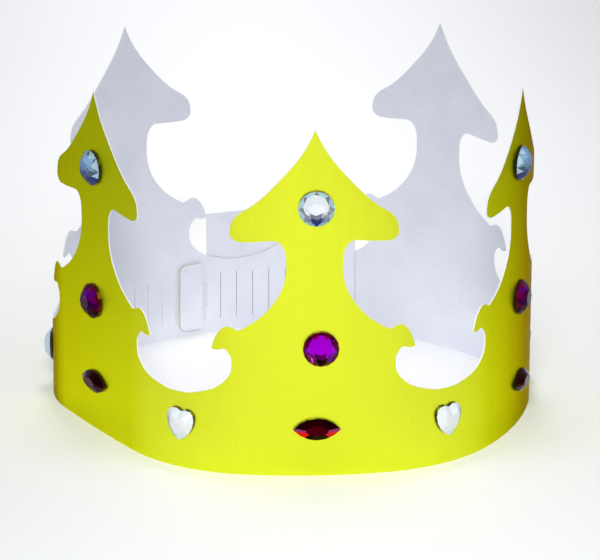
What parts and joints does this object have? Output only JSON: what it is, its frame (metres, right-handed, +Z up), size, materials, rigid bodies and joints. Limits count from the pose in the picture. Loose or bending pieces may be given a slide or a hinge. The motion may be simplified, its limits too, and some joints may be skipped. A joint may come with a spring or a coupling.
{
  "type": "paper crown",
  "caption": "Child's party crown: one die-cut gold card strip with five barbed spikes, closed at the back by a T-tab in a slit, with faceted gems glued on.",
  "frame": {"origin": "middle of the head opening, level with the card's bottom edge", "axes": "+Z up along the spikes; the front spike stands towards -Y; +X to the right of a viewer who faces the front"},
  "size_m": [0.1985, 0.1824, 0.1385],
  "materials": {
    "gold_card": "gold foil outside, white card inside",
    "clear_gem": "clear faceted acrylic with a foil back",
    "purple_gem": "purple faceted acrylic with a foil back",
    "red_gem": "dark red faceted acrylic with a foil back"
  },
  "bodies": {
    "root": {"card_band": "gold_card", "round_clear_back_left": "clear_gem", "round_purple_back_left": "purple_gem", "navette_red_back_left": "red_gem", "round_clear_side_left": "clear_gem", "round_purple_side_left": "purple_gem", "navette_red_side_left": "red_gem", "round_clear_front": "clear_gem", "round_purple_front": "purple_gem", "navette_red_front": "red_gem", "round_clear_side_right": "clear_gem", "round_purple_side_right": "purple_gem", "navette_red_side_right": "red_gem", "round_clear_back_right": "clear_gem", "round_purple_back_right": "purple_gem", "navette_red_back_right": "red_gem", "heart_clear_back_left": "clear_gem", "heart_clear_front_left": "clear_gem", "heart_clear_front_right": "clear_gem", "heart_clear_back_right": "clear_gem"}
  },
  "joints": []
}
